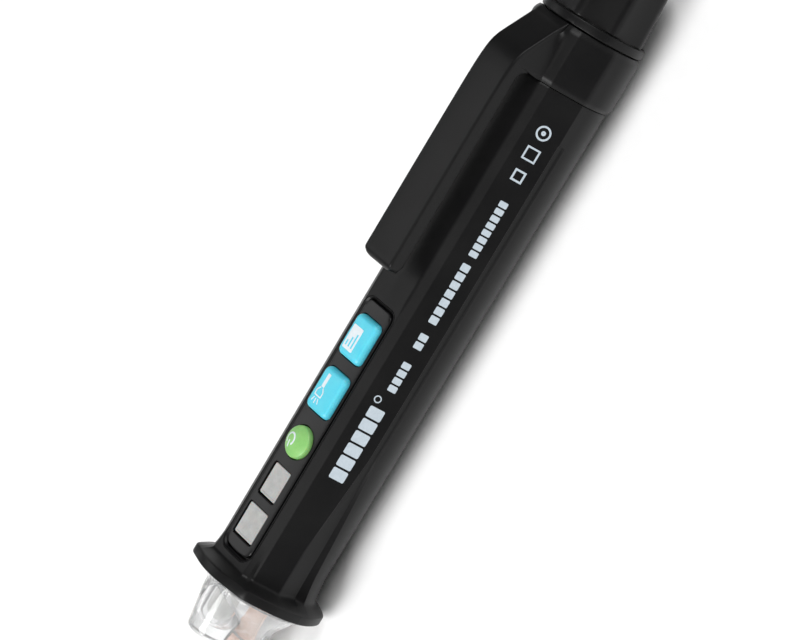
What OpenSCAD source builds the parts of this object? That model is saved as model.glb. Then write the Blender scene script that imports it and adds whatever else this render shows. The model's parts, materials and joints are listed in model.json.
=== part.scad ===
// Non contact voltage tester, pen shaped, for two AAA cells.
// The pen axis runs along X: the probe tip points to -X, the end cap to +X,
// and the control panel faces +Z. The tester lies on the flat of its guard.

/* [Barrel] */
// Height of the pen axis above the surface the guard rests on
axis_h = 12.2; // [11.9:0.1:12.2]
// Radius of the round belly of the barrel
belly_r = 10.05; // [9.9:0.05:10.2]
// Height of the panel flat above the pen axis
top_z = 9.6; // [9.5:0.05:9.7]
// Half width of the panel flat
top_hw = 4.5; // [4.5:0.1:4.9]
// Half width at the upper edge of the side facets
shoulder_hw = 6.5; // [6.3:0.1:6.8]
// Height of the upper edge of the side facets
shoulder_z = 8.5; // [8.3:0.1:8.6]
// Half width at the lower edge of the side facets
side_hw = 10.1; // [10:0.05:10.2]
// Height of the lower edge of the side facets
side_z = 2.0; // [1.9:0.1:2.2]
// Radius of the battery compartment's mouth
bore_r = 8.0; // [8:0.01:8.05]
// Radius of the electronics space
cavity_r = 8.5; // [8.4:0.05:8.6]

/* [Guard] */
// Radius of the guard at its upper corners
guard_r = 13.6; // [13.3:0.1:13.8]
// Front face of the guard
guard_front = -53.8; // [-53.9:0.1:-53.7]
// Rear end of the guard's dished face
guard_rear = -49.8; // [-50:0.1:-49.5]

/* [Control panel] */
// Front end of the inlaid panel
panel_front = -47.6; // [-48:0.1:-47.2]
// Rear end of the inlaid panel
panel_rear = 4.4; // [4:0.1:4.8]
// Half width of the panel at its front end
panel_hw_front = 4.5; // [4.4:0.05:4.6]
// Half width of the panel at its rear end
panel_hw_rear = 3.95; // [3.9:0.05:4.1]
// Thickness of the panel plate
panel_t = 1.25; // [1.2:0.05:1.3]
// Radius of the round power button
power_r = 3.0; // [2.8:0.05:3.1]
// Position of the power button along the pen
power_x = -24.5; // [-24.8:0.1:-24.2]
// How far the buttons stand above the panel
button_rise = 1.25; // [1:0.05:1.4]
// Travel of a button
button_travel = 0.5; // [0.3:0.05:0.5]

/* [Nose] */
// Length of the clear nose in front of the guard
nose_len = 26.2; // [26.2:0.1:26.2]
// Radius of the torch lens at its end
lens_r = 3.95; // [3.9:0.05:4.0]
// Radius of the torch lens at the guard
lens_root_r = 5.35; // [5.2:0.05:5.4]
// Height of the torch lens above the pen axis
lens_z = 5.3; // [5.2:0.05:5.4]

/* [Clip and collar] */
// Front seam of the collar
collar_front = 54.4; // [54.3:0.1:54.5]
// Rear seam of the collar
collar_rear = 65.7; // [65.6:0.1:65.7]
// How much bigger the collar is than the barrel
collar_step = 0.55; // [0.4:0.05:0.6]
// Free end of the clip arm
clip_tip = 12; // [12:0.5:16]
// Half width of the clip arm
clip_hw = 4.35; // [4.2:0.05:4.4]
// Inner face of the clip arm above the pen axis
clip_in = 13.9; // [13.85:0.05:13.95]
// Outer face of the clip arm above the pen axis
clip_out = 17.0; // [17:0.05:17.1]
// Radius of the clip arm's knuckle
knuckle_r = 1.55; // [1.5:0.01:1.58]

/* [End cap] */
// Rear end of the cap
cap_end = 80; // [80:0.1:80]
// Radius of the cap's ring
cap_ring_r = 10.3; // [10.2:0.05:10.4]
// Corner radius of the knob at its base
knob_r = 10.2; // [10:0.05:10.3]
// Corner radius of the knob at its end
knob_end_r = 9.6; // [9.4:0.05:9.8]
// Radius of the cap's plug
plug_r = 7.9; // [7.88:0.01:7.92]

/* [Cells] */
// Radius of an AAA cell
cell_r = 5.25; // [5.2:0.05:5.25]
// Length of an AAA cell
cell_len = 44.5; // [44:0.1:44.5]
// Height of the cells' axis, below the pen axis
cell_z = -2.3; // [-2.3:0.05:-2.2]

/* [Hidden] */
$fn = 96;

spigot_r = 9.0;
collar_bore = 9.05;
plate_z = top_z - 1.2;            // floor of the panel recess
panel_top = plate_z + panel_t;
cavity_top = 7.4;
cells_front = -37;
cells_mid = cells_front + cell_len;
cells_rear = cells_mid + cell_len;
board_lo = 3.6;
board_hi = 4.6;
torch_c = [-17.7, -9.7, 3.5];     // front end, rear end, half width
sens_c = [-6.6, 1.6, 3.5];
torch_x = (torch_c[0] + torch_c[1]) / 2;
sens_x = (sens_c[0] + sens_c[1]) / 2;
win_f = [-45.3, -39.0, 2.7];
win_r = [-36.6, -30.3, 2.35];
stem_z = 7.6;                     // where a button's stem meets its plunger
switch_top = 6.9;
// Half outline of the guard: angle from the panel side, share of guard_r
guard_half = [[0, 0.945], [20, 0.95], [41, 1], [65, 0.953], [90, 0.942], [113, 0.942], [137, 0.975], [158, 0.945], [180, 0.95]];
pivot = [55.6, 15.45];            // clip knuckle, x and z
nose_tip = guard_front - nose_len;
blade_root = -64.3;
blade_z = -3.2;

// Everything below is drawn about the pen axis and lifted here
module placed() { translate([0, 0, axis_h]) children(); }

module along_x(x0, x1) {
    translate([x0, 0, 0]) rotate([90, 0, 90]) linear_extrude(height = x1 - x0) children();
}
module across_y(hw) {
    rotate([90, 0, 0]) translate([0, 0, -hw]) linear_extrude(height = 2 * hw) children();
}
module rod_x(x0, x1, r, y = 0, z = 0) {
    translate([x0, y, z]) rotate([0, 90, 0]) cylinder(h = x1 - x0, r = r);
}
module cone_x(x0, x1, r0, r1, y = 0, z = 0) {
    translate([x0, y, z]) rotate([0, 90, 0]) cylinder(h = x1 - x0, r1 = r0, r2 = r1);
}
module block(x0, x1, y0, y1, z0, z1) { translate([x0, y0, z0]) cube([x1 - x0, y1 - y0, z1 - z0]); }

// Rounded rectangle in the panel's plane
module rrect(x0, x1, hw, r) {
    translate([x0 + r, -hw]) square([x1 - x0 - 2 * r, 2 * hw]);
    translate([x0, -hw + r]) square([x1 - x0, 2 * hw - 2 * r]);
    for (x = [x0 + r, x1 - r], y = [-hw + r, hw - r]) translate([x, y]) circle(r = r, $fn = 32);
}
// Slightly tapered rounded rectangle of the panel, grown by g
module panel_outline(g = 0) {
    r = 1.5 + g;
    x0 = panel_front - g; x1 = panel_rear + g;
    a = panel_hw_front + g; b = panel_hw_rear + g;
    polygon([[x0 + r, -a], [x1 - r, -b], [x1, -b + r], [x1, b - r], [x1 - r, b], [x0 + r, a],
        [x0, a - r], [x0, -a + r]]);
    for (s = [-1, 1]) {
        translate([x0 + r, s * (a - r)]) circle(r = r, $fn = 48);
        translate([x1 - r, s * (b - r)]) circle(r = r, $fn = 48);
    }
}
// Outline of the barrel across the pen, scaled by k
module body_outline(k = 1) {
    intersection() {
        circle(r = belly_r * k, $fn = 128);
        translate([-20, -20]) square([40, 20.8]);
    }
    polygon([[-belly_r, 0], [-side_hw, side_z], [-shoulder_hw, shoulder_z], [-top_hw, top_z],
        [top_hw, top_z], [shoulder_hw, shoulder_z], [side_hw, side_z], [belly_r, 0]] * k);
}

module guard() {
    intersection() {
        along_x(guard_front, guard_rear) intersection() {
            polygon(concat(
                [for (p = guard_half) guard_r * p[1] * [sin(p[0]), cos(p[0])]],
                [for (i = [len(guard_half) - 2:-1:1]) let(p = guard_half[i]) guard_r * p[1] * [-sin(p[0]), cos(p[0])]]));
            translate([-20, -axis_h]) square([40, 40]);
        }
        union() {
            rod_x(guard_front, -52.1, 14.2);
            cone_x(-52.1, guard_rear, 14.2, 10.0);
        }
    }
}
// Concave scoop over the side channel: it starts in a point and widens to the guard
module scoop() {
    p = [-18.5, side_hw + 0.1, 1.1];
    q = [-50.3, side_hw + 4.1, 0.9];
    d = q - p;
    L = norm(d);
    translate(p) rotate([0, acos(d[2] / L), atan2(d[1], d[0])]) cylinder(h = L, r1 = 0.01, r2 = 5.2);
}

module barrel() {
    color([0.10, 0.10, 0.105]) difference() {
        union() {
            along_x(guard_front + 2, collar_front) body_outline();
            guard();
            rod_x(collar_front - 1, collar_rear - 0.3, spigot_r);
        }
        rod_x(guard_front - 1, -50, 9.0);
        along_x(-50.2, 45) intersection() {
            circle(r = cavity_r);
            translate([-20, -20]) square([40, 20 + cavity_top]);
        }
        rod_x(44, collar_rear + 1, bore_r);
        // panel recess and the openings below it
        translate([0, 0, plate_z]) linear_extrude(height = 5) panel_outline(0.15);
        translate([0, 0, 6.9]) linear_extrude(height = 2.5) {
            rrect(win_f[0] - 0.1, win_f[1] + 0.1, win_f[2] + 0.1, 0.5);
            rrect(win_r[0] - 0.1, win_r[1] + 0.1, win_r[2] + 0.1, 0.5);
            rrect(torch_c[0] - 0.7, torch_c[1] + 0.7, torch_c[2] + 0.7, 1.8);
            rrect(sens_c[0] - 0.7, sens_c[1] + 0.7, sens_c[2] + 0.7, 1.8);
            translate([power_x, 0]) circle(r = power_r + 0.8);
        }
        // shallow side channels below the facets, and their scoops
        for (s = [0, 1]) mirror([0, s, 0]) {
            block(-50, 45.1, side_hw - 0.35, side_hw + 1, 0.3, 1.9);
            translate([45.1, side_hw - 0.35, 1.1]) rotate([-90, 0, 0]) cylinder(h = 2, r = 0.8);
            scoop();
        }
    }
}

module panel_strip() {
    color([0.12, 0.12, 0.125]) translate([0, 0, plate_z]) linear_extrude(height = panel_t) difference() {
        panel_outline();
        rrect(win_f[0] - 0.05, win_f[1] + 0.05, win_f[2] + 0.05, 0.45);
        rrect(win_r[0] - 0.05, win_r[1] + 0.05, win_r[2] + 0.05, 0.45);
        rrect(torch_c[0] - 0.12, torch_c[1] + 0.12, torch_c[2] + 0.12, 1.3);
        rrect(sens_c[0] - 0.12, sens_c[1] + 0.12, sens_c[2] + 0.12, 1.3);
        translate([power_x, 0]) circle(r = power_r + 0.12);
    }
}

module window(w) {
    color([0.68, 0.68, 0.67]) translate([0, 0, 6.95])
        linear_extrude(height = panel_top + 0.05 - 6.95) rrect(w[0], w[1], w[2], 0.4);
}
module window_front() { window(win_f); }
module window_rear() { window(win_r); }

// A rectangular button: cap, retaining rim and the stem that presses the switch
module long_button(c) {
    color([0.33, 0.78, 0.88]) {
        translate([0, 0, 8.3]) linear_extrude(height = panel_top + button_rise - 0.35 - 8.3)
            rrect(c[0], c[1], c[2], 1.2);
        translate([0, 0, 9]) linear_extrude(height = panel_top + button_rise - 9)
            rrect(c[0] + 0.35, c[1] - 0.35, c[2] - 0.35, 0.9);
        translate([0, 0, 7.75]) linear_extrude(height = 0.6) rrect(c[0] - 0.5, c[1] + 0.5, c[2] + 0.5, 1.6);
        translate([(c[0] + c[1]) / 2, 0, stem_z]) cylinder(h = 0.5, r = 1.4);
    }
}
module torch_button() { long_button(torch_c); }
module sensitivity_button() { long_button(sens_c); }

// The round button has a domed top
module power_button() {
    dome = 6.2;
    color([0.45, 0.78, 0.42]) {
        translate([power_x, 0, 8.3]) cylinder(h = panel_top + 0.5 - 8.3, r = power_r);
        intersection() {
            translate([power_x, 0, 8.5]) cylinder(h = 5, r = power_r);
            translate([power_x, 0, panel_top + button_rise - dome]) sphere(r = dome, $fn = 128);
        }
        translate([power_x, 0, 7.75]) cylinder(h = 0.6, r = power_r + 0.5);
        translate([power_x, 0, stem_z]) cylinder(h = 0.5, r = 1.4);
    }
}

module plunger(x) {
    color([0.15, 0.15, 0.15]) translate([x, 0, 6.55]) cylinder(h = stem_z - 6.55, r = 1.05);
}
module power_plunger() { plunger(power_x); }
module torch_plunger() { plunger(torch_x); }
module sensitivity_plunger() { plunger(sens_x); }

module tact_switch(x) {
    color([0.25, 0.25, 0.26]) difference() {
        block(x - 2.25, x + 2.25, -2.25, 2.25, board_hi, switch_top);
        translate([x, 0, 5.9]) cylinder(h = 2, r = 1.15);
    }
}
module power_switch() { tact_switch(power_x); }
module torch_switch() { tact_switch(torch_x); }
module sensitivity_switch() { tact_switch(sens_x); }

// Rounded bar section of the probe blade, as a thin slice across the pen
module slice(x, hw, hh, z, r) {
    for (y = [-hw + r, hw - r], k = [-hh + r, hh - r]) translate([x, y, z + k]) rotate([0, 90, 0])
        cylinder(h = 0.1, r = r, $fn = 32);
}
module clear_nose() {
    color([0.85, 0.88, 0.90, 0.35]) difference() {
        union() {
            hull() {
                translate([guard_front - 1.1, 0, 0]) rotate([0, 90, 0]) cylinder(h = 1.1, r = 10.2, $fn = 72);
                slice(blade_root, 4.9, 2.6, blade_z, 1.6);
            }
            hull() {
                slice(blade_root, 4.9, 2.6, blade_z, 1.6);
                slice(nose_tip + 1.2, 4.1, 2.1, blade_z, 1.6);
                slice(nose_tip, 3.1, 1.2, blade_z, 1.1);
            }
            cone_x(-64.4, guard_front, lens_r, lens_root_r, 0, lens_z);
            cone_x(-65.2, -64.4, lens_r - 0.8, lens_r, 0, lens_z);
            rod_x(guard_front - 0.5, -50.8, 8.9);
        }
        rod_x(guard_front - 0.6, -50, 7.3);
        hull() {
            translate([guard_front - 0.7, 0, 0]) rotate([0, 90, 0]) cylinder(h = 0.3, r = 8.4, $fn = 72);
            slice(blade_root + 0.8, 3.5, 1.2, blade_z, 0.8);
        }
        rod_x(-62.6, -50, 2.85, 0, lens_z);
        block(-76, -50, -2.6, 2.6, -3.9, -3.1);
    }
}
module sensor_plate() {
    color([0.72, 0.45, 0.30]) block(-75, -49.7, -2.4, 2.4, -3.7, -3.3);
}
module sensor_lead() {
    color([0.75, 0.70, 0.45]) block(-50.6, -49.7, -0.6, 0.6, -3.3, board_lo);
}
module torch_led() {
    color([0.95, 0.95, 0.85]) {
        rod_x(-54.6, -53.6, 2.7, 0, lens_z);
        rod_x(-59, -54, 2.5, 0, lens_z);
        translate([-59, 0, lens_z]) sphere(r = 2.5);
        for (s = [-1, 1]) block(-54, -50, s * 1.27 - 0.25, s * 1.27 + 0.25, board_hi, board_hi + 0.5);
    }
}
module nose_gasket() {
    color([0.12, 0.12, 0.12]) difference() {
        rod_x(-50.75, -50.05, 8.9);
        rod_x(-51, -49, 7.5);
    }
}

module signal_leds() {
    color([0.9, 0.35, 0.3]) for (w = [win_f, win_r], k = [-1.6, 1.6])
        translate([(w[0] + w[1]) / 2 + k, 0, board_hi]) {
            translate([-0.8, -1.0, 0]) cube([1.6, 2.0, 0.9]);
            translate([0, 0, 0.9]) cylinder(h = 0.3, r = 0.6, $fn = 32);
        }
}
module buzzer() {
    color([0.13, 0.13, 0.14]) translate([-44.6, 0, -1.8]) difference() {
        cylinder(h = board_lo + 1.8, r = 4.5);
        translate([0, 0, -1]) cylinder(h = 1.8, r = 0.9);
    }
}
module controller_chip() {
    color([0.10, 0.10, 0.11]) {
        block(-10.4, -5.8, -1.95, 1.95, board_hi + 0.15, board_hi + 1.6);
        for (i = [0:3], s = [-1, 1])
            translate([-10.0 + i * 1.27, s * 2.4, board_hi]) translate([-0.2, -0.6, 0]) cube([0.4, 1.2, 0.5]);
    }
}
module board_parts() {
    color([0.55, 0.45, 0.35]) for (p = [[-47, 2.5, 1.6], [-47, -2.5, 1.6], [-38.2, 4.6, 1.6], [-38.2, -4.6, 1.6],
        [-28.8, 3.2, 2.0], [-28.8, -3.2, 2.0], [-20.2, 3.0, 2.0], [-20.2, 0, 2.0], [-20.2, -3.0, 2.0],
        [-8, 5.2, 1.6], [-8, -5.2, 1.6], [-26, 5.6, 1.6], [-13, 5.6, 1.6], [-13, -5.6, 1.6]])
        translate([p[0] - p[2] / 2, p[1] - 0.6, board_hi]) cube([p[2], 1.2, 0.7]);
}
module circuit_board() {
    color([0.10, 0.38, 0.22]) difference() {
        union() {
            block(-49.3, 6, -6.9, 6.9, board_lo, board_hi);
            block(-51.2, -49, -4.5, 4.5, board_lo, board_hi);
        }
        for (p = [[-36, 5.1], [3, -5.1]]) translate([p[0], p[1], 0]) cylinder(h = 10, r = 0.95);
    }
}
module board_screws() {
    color([0.70, 0.70, 0.72]) for (p = [[-36, 5.1], [3, -5.1]]) translate([p[0], p[1], 0]) difference() {
        union() {
            translate([0, 0, 0.9]) cylinder(h = board_hi - 0.8, r = 0.8);
            translate([0, 0, board_hi]) cylinder(h = 0.7, r = 1.3);
        }
        for (a = [0, 90]) rotate([0, 0, a]) translate([-0.8, -0.15, board_hi + 0.35]) cube([1.6, 0.3, 1]);
    }
}
module inner_frame() {
    color([0.22, 0.22, 0.23]) difference() {
        union() {
            along_x(-39.5, 44.6) intersection() {
                circle(r = 8.35);
                translate([-20, -20]) square([40, 23.4]);
            }
            // pads that carry the board
            for (p = [[-36, 5.1], [3, -5.1], [-36, -5.1], [3, 5.1]]) translate([p[0], p[1], 3]) cylinder(h = board_lo - 3, r = 1.6);
        }
        rod_x(-38.15, 50, 5.45, 0, cell_z);
        block(-38.15, 50, -1.6, 1.6, 0, 5);
        block(-40, -38, -0.9, 0.9, 1, 5);
        for (p = [[-36, 5.1], [3, -5.1]]) translate([p[0], p[1], 0.6]) cylinder(h = 10, r = 0.83);
    }
}
// An AAA cell with its positive nub towards the probe
module cell(x) {
    rod_x(x, x + 1.1, 1.9, 0, cell_z);
    rod_x(x + 1, x + cell_len, cell_r, 0, cell_z);
}
module battery_front() { color([0.75, 0.42, 0.18]) cell(cells_front); }
module battery_rear() { color([0.75, 0.42, 0.18]) cell(cells_mid); }
module front_contact() {
    color([0.80, 0.76, 0.55]) {
        block(-38.1, -37.7, -2.5, 2.5, -5, 0.6);
        block(-38.1, -37.7, -0.8, 0.8, 0, board_lo);
        cone_x(-37.7, -37.02, 1.2, 0.8, 0, cell_z);
    }
}
// Return strip from the cap's contact to the board
module contact_strip() {
    color([0.80, 0.76, 0.55]) {
        block(6.1, 56.2, -2, 2, 3.45, 3.75);
        block(6.1, 6.4, -2, 2, 3.45, 4.95);
        block(4, 6.4, -2, 2, 4.65, 4.95);
        block(55.9, 56.2, -2, 2, 3.45, 5.6);
    }
}

module clip_collar() {
    color([0.10, 0.10, 0.105]) difference() {
        union() {
            along_x(collar_front, collar_rear) body_outline(1 + collar_step / belly_r);
            // shoulder that the clip arm springs from
            across_y(clip_hw) polygon([[collar_front, 9], [collar_front, 13.75], [55.2, 13.75], [55.6, 17],
                [56.3, 17], [57.6, 16.3], [60.0, 14.6], [62.6, 12.7], [65.2, 10.9], [collar_rear, 9.5]]);
        }
        rod_x(collar_front - 1, collar_rear + 1, collar_bore);
        translate([pivot[0], 0, pivot[1]]) rotate([90, 0, 0]) translate([0, 0, -10]) cylinder(h = 20, r = knuckle_r + 0.1);
        block(50, pivot[0] + 0.02, -10, 10, 13.75, 20);
    }
}
module clip_arm() {
    color([0.10, 0.10, 0.105]) {
        intersection() {
            across_y(clip_hw) polygon([[clip_tip, 14.9], [clip_tip + 0.8, clip_in], [pivot[0], clip_in],
                [pivot[0], clip_out], [clip_tip + 1.6, clip_out], [clip_tip, 15.9]]);
            linear_extrude(height = 40) union() {
                rrect(clip_tip, clip_tip + 12, clip_hw, 1.6);
                translate([clip_tip + 6, -clip_hw]) square([pivot[0] - clip_tip - 5, 2 * clip_hw]);
            }
        }
        translate([pivot[0], 0, pivot[1]]) rotate([90, 0, 0]) translate([0, 0, -clip_hw])
            cylinder(h = 2 * clip_hw, r = knuckle_r);
    }
}

module end_cap() {
    color([0.10, 0.10, 0.105]) difference() {
        union() {
            rod_x(56.7, collar_rear + 1, plug_r);
            rod_x(collar_rear + 0.1, 67.7, cap_ring_r);
            translate([67.6, 0, 0]) rotate([0, 90, 0]) rotate([0, 0, 22.5])
                cylinder(h = cap_end - 1 - 67.6, r1 = knob_r, r2 = knob_end_r, $fn = 8);
            translate([cap_end - 1, 0, 0]) rotate([0, 90, 0]) rotate([0, 0, 22.5])
                cylinder(h = 1, r1 = knob_end_r, r2 = knob_end_r - 0.9, $fn = 8);
        }
        rod_x(56, 58.4, 6.7);
        rod_x(58, cap_end - 3, 6.0);
        difference() {
            rod_x(60.9, 62.1, plug_r + 1);
            rod_x(60, 63, 6.95);
        }
    }
}
module cap_seal() {
    color([0.16, 0.16, 0.17]) translate([61.5, 0, 0]) rotate([0, 90, 0]) rotate_extrude()
        translate([7.47, 0]) circle(r = 0.5, $fn = 32);
}
module cap_contact() {
    color([0.80, 0.76, 0.55]) {
        rod_x(58.0, 58.4, 6.6);
        block(56.3, 58.2, -1.8, 1.8, 4.2, 4.5);
    }
}
// Conical battery spring, wound from the contact plate to the rear cell
spring_turns = 4.5;
spring_steps = 84;
spring_sides = 6;
spring_wire = 0.3;
function spring_pt(t) = let(a = 360 * spring_turns * t, r = 3.5 - 1.3 * t)
    [57.65 - 5.2 * t, r * cos(a), r * sin(a) + cell_z];
function spring_ring(i) = let(t = i / spring_steps, a = 360 * spring_turns * t, p = spring_pt(t))
    [for (k = [0:spring_sides - 1]) let(b = 360 * k / spring_sides)
        p + spring_wire * [sin(b), cos(b) * cos(a), cos(b) * sin(a)]];
module cap_spring() {
    n = spring_sides;
    color([0.75, 0.75, 0.76]) polyhedron(
        points = [for (i = [0:spring_steps]) each spring_ring(i)],
        faces = concat(
            [[for (k = [0:n - 1]) k]],
            [for (i = [0:spring_steps - 1], k = [0:n - 1]) let(a = i * n + k, b = i * n + (k + 1) % n)
                [a, a + n, b + n, b]],
            [[for (k = [n - 1:-1:0]) spring_steps * n + k]]));
}

placed() barrel();
placed() panel_strip();
placed() window_front();
placed() window_rear();
placed() power_button();
placed() torch_button();
placed() sensitivity_button();
placed() power_plunger();
placed() torch_plunger();
placed() sensitivity_plunger();
placed() power_switch();
placed() torch_switch();
placed() sensitivity_switch();
placed() clear_nose();
placed() sensor_plate();
placed() sensor_lead();
placed() torch_led();
placed() nose_gasket();
placed() signal_leds();
placed() buzzer();
placed() controller_chip();
placed() board_parts();
placed() circuit_board();
placed() board_screws();
placed() inner_frame();
placed() battery_front();
placed() battery_rear();
placed() front_contact();
placed() contact_strip();
placed() clip_collar();
placed() clip_arm();
placed() end_cap();
placed() cap_seal();
placed() cap_contact();
placed() cap_spring();
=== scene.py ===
# Looks of the non contact voltage tester, built around the imported CAD model.
# Lengths in the helpers are millimetres about the pen axis; build() turns them into metres in the row frame.
import bpy, bmesh, json, math, random
import numpy as np
from mathutils import Matrix, Vector


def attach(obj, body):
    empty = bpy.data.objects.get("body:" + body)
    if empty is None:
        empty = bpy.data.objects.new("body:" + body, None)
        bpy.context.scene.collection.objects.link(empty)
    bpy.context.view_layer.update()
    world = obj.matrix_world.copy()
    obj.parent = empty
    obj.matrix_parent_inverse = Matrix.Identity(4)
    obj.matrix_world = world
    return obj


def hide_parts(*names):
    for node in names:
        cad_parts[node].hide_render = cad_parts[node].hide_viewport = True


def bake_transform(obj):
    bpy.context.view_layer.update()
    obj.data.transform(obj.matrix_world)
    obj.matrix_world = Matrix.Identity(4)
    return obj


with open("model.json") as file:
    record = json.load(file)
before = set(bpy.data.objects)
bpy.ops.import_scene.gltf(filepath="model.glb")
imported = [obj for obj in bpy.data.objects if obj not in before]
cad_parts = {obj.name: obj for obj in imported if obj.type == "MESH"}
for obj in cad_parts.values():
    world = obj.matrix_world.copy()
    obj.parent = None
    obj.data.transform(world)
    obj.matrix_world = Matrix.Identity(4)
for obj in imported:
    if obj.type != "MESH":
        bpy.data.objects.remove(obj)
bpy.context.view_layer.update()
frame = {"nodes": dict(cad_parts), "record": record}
NODES = frame["nodes"]
RECORD = frame["record"]
AX = 12.2
MM = 0.001
random.seed(7)
rng = np.random.default_rng(7)


# ---------------------------------------------------------------- materials
def ramp(nt, fac, stops):
    n = nt.nodes.new("ShaderNodeValToRGB")
    while len(n.color_ramp.elements) < len(stops):
        n.color_ramp.elements.new(0.5)
    for e, (p, c) in zip(n.color_ramp.elements, stops):
        e.position = p
        e.color = (*c, 1)
    nt.links.new(fac, n.inputs[0])
    return n.outputs[0]


def noise(nt, coord, scale, detail=3, rough=0.5, dist=0.0):
    n = nt.nodes.new("ShaderNodeTexNoise")
    n.inputs["Scale"].default_value = scale
    n.inputs["Detail"].default_value = detail
    n.inputs["Roughness"].default_value = rough
    n.inputs["Distortion"].default_value = dist
    nt.links.new(coord, n.inputs["Vector"])
    return n.outputs["Fac"]


def remap(nt, fac, lo, hi, a=0.3, b=0.7):
    n = nt.nodes.new("ShaderNodeMapRange")
    n.inputs[1].default_value = a
    n.inputs[2].default_value = b
    n.inputs[3].default_value = lo
    n.inputs[4].default_value = hi
    nt.links.new(fac, n.inputs[0])
    return n.outputs[0]


def math_node(nt, op, a, b):
    n = nt.nodes.new("ShaderNodeMath")
    n.operation = op
    for i, v in enumerate((a, b)):
        if isinstance(v, (int, float)):
            n.inputs[i].default_value = v
        else:
            nt.links.new(v, n.inputs[i])
    return n.outputs[0]


def material(name, colors, rough=(0.35, 0.45), grain=5000, bump=0.15, depth=2e-5, metallic=0.0, mottle=160,
             stretch=None, fine_mix=0.35, **sockets):
    """A procedural material: broad and fine colour variation, varied roughness and a fine surface grain."""
    m = bpy.data.materials.new(name)
    m.use_nodes = True
    nt = m.node_tree
    b = nt.nodes["Principled BSDF"]
    tc = nt.nodes.new("ShaderNodeTexCoord")
    coord = tc.outputs["Object"]
    if stretch:
        mp = nt.nodes.new("ShaderNodeMapping")
        mp.inputs["Scale"].default_value = stretch
        nt.links.new(coord, mp.inputs["Vector"])
        coord = mp.outputs["Vector"]
    broad = noise(nt, coord, mottle, 4, 0.55)
    fine = noise(nt, coord, grain, 2, 0.6)
    mix = math_node(nt, "ADD", math_node(nt, "MULTIPLY", broad, 1 - fine_mix), math_node(nt, "MULTIPLY", fine, fine_mix))
    nt.links.new(ramp(nt, mix, [(0.32, colors[0]), (0.68, colors[1])]), b.inputs["Base Color"])
    nt.links.new(remap(nt, mix, rough[0], rough[1]), b.inputs["Roughness"])
    if bump:
        bp = nt.nodes.new("ShaderNodeBump")
        bp.inputs["Strength"].default_value = bump
        bp.inputs["Distance"].default_value = depth
        nt.links.new(fine, bp.inputs["Height"])
        nt.links.new(bp.outputs["Normal"], b.inputs["Normal"])
    b.inputs["Metallic"].default_value = metallic
    for k, v in sockets.items():
        b.inputs[k.replace("_", " ")].default_value = v
    return m


MATS = {
    "black_plastic": material("black_plastic", [(0.0036, 0.0036, 0.0039), (0.0060, 0.0059, 0.0060)], (0.36, 0.46), grain=4200, bump=0.5, depth=1.6e-5, mottle=90, Specular_IOR_Level=0.21),
    "panel_black": material("panel_black", [(0.0036, 0.0036, 0.0039), (0.0058, 0.0058, 0.006)], (0.26, 0.36), grain=6500, bump=0.12, depth=1e-5, Specular_IOR_Level=0.30),
    "frosted": material("frosted", [(0.33, 0.33, 0.325), (0.43, 0.43, 0.42)], (0.42, 0.58), grain=3800, bump=0.5, depth=2e-5, mottle=700, Subsurface_Weight=0.25, Subsurface_Scale=0.0008),
    "green": material("green", [(0.20, 0.47, 0.13), (0.27, 0.56, 0.18)], (0.36, 0.46), grain=4500, bump=0.15, depth=1e-5, mottle=400, Subsurface_Weight=0.2, Subsurface_Scale=0.0008),
    "teal": material("teal", [(0.070, 0.52, 0.66), (0.103, 0.59, 0.735)], (0.36, 0.46), grain=4500, bump=0.15, depth=1e-5, mottle=300, Subsurface_Weight=0.2, Subsurface_Scale=0.0008),
    "switch_black": material("switch_black", [(0.012, 0.012, 0.013), (0.022, 0.022, 0.022)], (0.4, 0.55)),
    "copper": material("copper", [(0.86, 0.47, 0.30), (0.95, 0.58, 0.40)], (0.3, 0.42), grain=3000, bump=0.2, metallic=0.35, stretch=(0.15, 1, 1)),
    "contact_metal": material("contact_metal", [(0.62, 0.56, 0.38), (0.74, 0.68, 0.50)], (0.2, 0.34), grain=3000, bump=0.2, metallic=1.0, stretch=(0.2, 1, 1)),
    "led": material("led", [(0.82, 0.82, 0.78), (0.93, 0.93, 0.88)], (0.12, 0.2), grain=900, bump=0.05, Transmission_Weight=0.35, IOR=1.5),
    "led_red": material("led_red", [(0.60, 0.06, 0.04), (0.75, 0.12, 0.08)], (0.2, 0.3), grain=2000, bump=0.1),
    "seal_rubber": material("seal_rubber", [(0.012, 0.012, 0.012), (0.022, 0.022, 0.022)], (0.6, 0.75), grain=3500, bump=0.4),
    "ceramic": material("ceramic", [(0.36, 0.24, 0.14), (0.55, 0.42, 0.28)], (0.4, 0.55), grain=2500, bump=0.2, mottle=900),
    "board_green": material("board_green", [(0.010, 0.085, 0.038), (0.020, 0.14, 0.06)], (0.26, 0.36), grain=2500, bump=0.15, mottle=500),
    "steel": material("steel", [(0.55, 0.55, 0.56), (0.70, 0.70, 0.71)], (0.22, 0.36), grain=3000, bump=0.2, metallic=1.0, stretch=(0.2, 1, 1)),
    "frame_plastic": material("frame_plastic", [(0.020, 0.020, 0.022), (0.032, 0.032, 0.034)], (0.45, 0.58), grain=3500, bump=0.3),
    "cell_jacket": material("cell_jacket", [(0.50, 0.17, 0.04), (0.62, 0.25, 0.07)], (0.2, 0.3), grain=1500, bump=0.05, metallic=0.6),
    "mark_white": material("mark_white", [(0.62, 0.68, 0.72), (0.72, 0.77, 0.80)], (0.45, 0.55), grain=6000, bump=0.1, mottle=1500),
    "print": material("print", [(0.40, 0.465, 0.515), (0.48, 0.54, 0.59)], (0.45, 0.55), grain=6000, bump=0.1, mottle=1500),
}


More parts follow.
